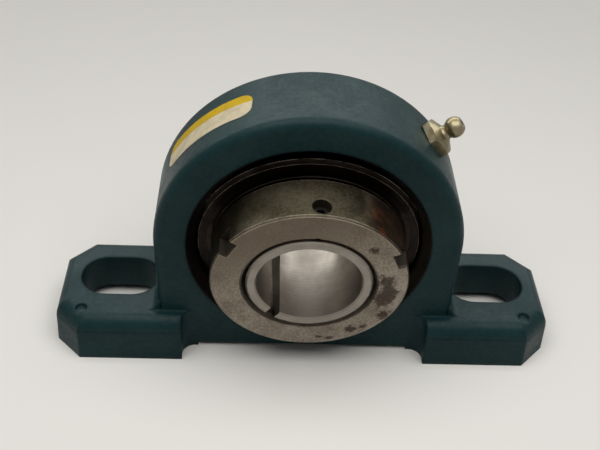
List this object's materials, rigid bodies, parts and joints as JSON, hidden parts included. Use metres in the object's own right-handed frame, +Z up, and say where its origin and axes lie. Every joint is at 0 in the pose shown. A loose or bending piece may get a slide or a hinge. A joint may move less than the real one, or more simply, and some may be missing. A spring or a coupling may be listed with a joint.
{
  "type": "pillow block bearing",
  "caption": "Cast pillow block housing on slotted feet with a self-aligning ball bearing insert, tapered adapter sleeve, notched locking collar and grease fitting",
  "frame": {"origin": "where the shaft axis crosses the middle plane of the housing, 47.6 mm over the base plane", "axes": "+X along the base, -Y towards the locking collar, +Z up from the base"},
  "size_m": [0.1778, 0.0541, 0.0998],
  "materials": {
    "housing_paint": "dark teal enamel over a cast surface",
    "label_film": "yellow and cream film label",
    "zinc_plate": "yellow chromate on zinc",
    "bright_steel": "polished steel",
    "outer_ring_steel": "ground steel browned by oil",
    "ring_steel": "ground steel",
    "cage_polymer": "moulded nylon",
    "seal_rubber": "black nitrile",
    "shroud_steel": "pressed sheet steel",
    "flinger_steel": "oiled sheet steel",
    "sleeve_steel": "turned steel",
    "collar_steel": "turned steel with brown rust stains",
    "black_steel": "black oxide"
  },
  "bodies": {
    "housing": {"housing": "housing_paint", "label": "label_film", "grease_fitting": "zinc_plate", "check_spring": "bright_steel"},
    "check_ball": {"check_ball": "bright_steel"},
    "swivel_pin": {"anti_rotation_pin": "bright_steel"},
    "outer": {"outer_ring": "outer_ring_steel", "front_seal": "seal_rubber", "rear_seal": "seal_rubber", "front_seal_shroud": "shroud_steel", "rear_seal_shroud": "shroud_steel"},
    "inner": {"inner_ring": "ring_steel", "front_flinger": "flinger_steel", "rear_flinger": "flinger_steel", "collar_snap_ring": "bright_steel"},
    "cage": {"cage": "cage_polymer"},
    "ball_1": {"ball_1": "bright_steel"},
    "ball_2": {"ball_2": "bright_steel"},
    "ball_3": {"ball_3": "bright_steel"},
    "ball_4": {"ball_4": "bright_steel"},
    "ball_5": {"ball_5": "bright_steel"},
    "ball_6": {"ball_6": "bright_steel"},
    "ball_7": {"ball_7": "bright_steel"},
    "ball_8": {"ball_8": "bright_steel"},
    "ball_9": {"ball_9": "bright_steel"},
    "collar": {"locking_collar": "collar_steel"},
    "sleeve": {"adapter_sleeve": "sleeve_steel"},
    "set_screw": {"set_screw": "black_steel"}
  },
  "joints": [
    {"name": "insert_pitch", "type": "hinge", "parent": "housing", "child": "swivel_pin", "pos_m": [0, 0, 0], "axis": [1, 0, 0], "range_deg": [-14.5, 1.5]},
    {"name": "insert_yaw", "type": "hinge", "parent": "swivel_pin", "child": "outer", "pos_m": [0, 0, 0], "axis": [0, -0.1132, 0.9936], "range_deg": [-5, 5]},
    {"name": "shaft_spin", "type": "hinge", "parent": "outer", "child": "inner", "pos_m": [0, 0, 0], "axis": [0, -0.9936, -0.1132], "continuous": true},
    {"name": "cage_spin", "type": "hinge", "parent": "outer", "child": "cage", "pos_m": [0, 0, 0], "axis": [0, -0.9936, -0.1132], "continuous": true},
    {"name": "ball_1_spin", "type": "hinge", "parent": "cage", "child": "ball_1", "pos_m": [-0.01928, -0.0026, 0.02283], "axis": [0, -0.9936, -0.1132], "continuous": true},
    {"name": "ball_2_spin", "type": "hinge", "parent": "cage", "child": "ball_2", "pos_m": [-0.02954, -0.00059, 0.00518], "axis": [0, -0.9936, -0.1132], "continuous": true},
    {"name": "ball_3_spin", "type": "hinge", "parent": "cage", "child": "ball_3", "pos_m": [-0.02598, 0.0017, -0.0149], "axis": [0, -0.9936, -0.1132], "continuous": true},
    {"name": "ball_4_spin", "type": "hinge", "parent": "cage", "child": "ball_4", "pos_m": [-0.01026, 0.00319, -0.02801], "axis": [0, -0.9936, -0.1132], "continuous": true},
    {"name": "ball_5_spin", "type": "hinge", "parent": "cage", "child": "ball_5", "pos_m": [0.01026, 0.00319, -0.02801], "axis": [0, -0.9936, -0.1132], "continuous": true},
    {"name": "ball_6_spin", "type": "hinge", "parent": "cage", "child": "ball_6", "pos_m": [0.02598, 0.0017, -0.0149], "axis": [0, -0.9936, -0.1132], "continuous": true},
    {"name": "ball_7_spin", "type": "hinge", "parent": "cage", "child": "ball_7", "pos_m": [0.02954, -0.00059, 0.00518], "axis": [0, -0.9936, -0.1132], "continuous": true},
    {"name": "ball_8_spin", "type": "hinge", "parent": "cage", "child": "ball_8", "pos_m": [0.01928, -0.0026, 0.02283], "axis": [0, -0.9936, -0.1132], "continuous": true},
    {"name": "ball_9_spin", "type": "hinge", "parent": "cage", "child": "ball_9", "pos_m": [0, -0.0034, 0.02981], "axis": [0, -0.9936, -0.1132], "continuous": true},
    {"name": "collar_turn", "type": "hinge", "parent": "inner", "child": "collar", "pos_m": [0, 0, 0], "axis": [0, -0.9936, -0.1132], "range_deg": [0, 360]},
    {"name": "sleeve_draw", "type": "slide", "parent": "inner", "child": "sleeve", "axis": [0, 0.9936, 0.1132], "range_m": [0, 0.00152]},
    {"name": "set_screw_travel", "type": "slide", "parent": "collar", "child": "set_screw", "axis": [0.0698, -0.1129, 0.9912], "range_m": [0, 0.003]},
    {"name": "check_ball_press", "type": "slide", "parent": "housing", "child": "check_ball", "axis": [-0.7604, 0, -0.6494], "range_m": [0, 0.0005], "stiffness_N_per_m": 100}
  ],
  "couplings": [
    {"joint": "cage_spin", "follows": "shaft_spin", "ratio": 0.40078},
    {"joint": "ball_1_spin", "follows": "shaft_spin", "ratio": -2.4205},
    {"joint": "ball_2_spin", "follows": "shaft_spin", "ratio": -2.4205},
    {"joint": "ball_3_spin", "follows": "shaft_spin", "ratio": -2.4205},
    {"joint": "ball_4_spin", "follows": "shaft_spin", "ratio": -2.4205},
    {"joint": "ball_5_spin", "follows": "shaft_spin", "ratio": -2.4205},
    {"joint": "ball_6_spin", "follows": "shaft_spin", "ratio": -2.4205},
    {"joint": "ball_7_spin", "follows": "shaft_spin", "ratio": -2.4205},
    {"joint": "ball_8_spin", "follows": "shaft_spin", "ratio": -2.4205},
    {"joint": "ball_9_spin", "follows": "shaft_spin", "ratio": -2.4205},
    {"joint": "sleeve_draw", "follows": "collar_turn", "m_per_rad": 0.00023873}
  ]
}
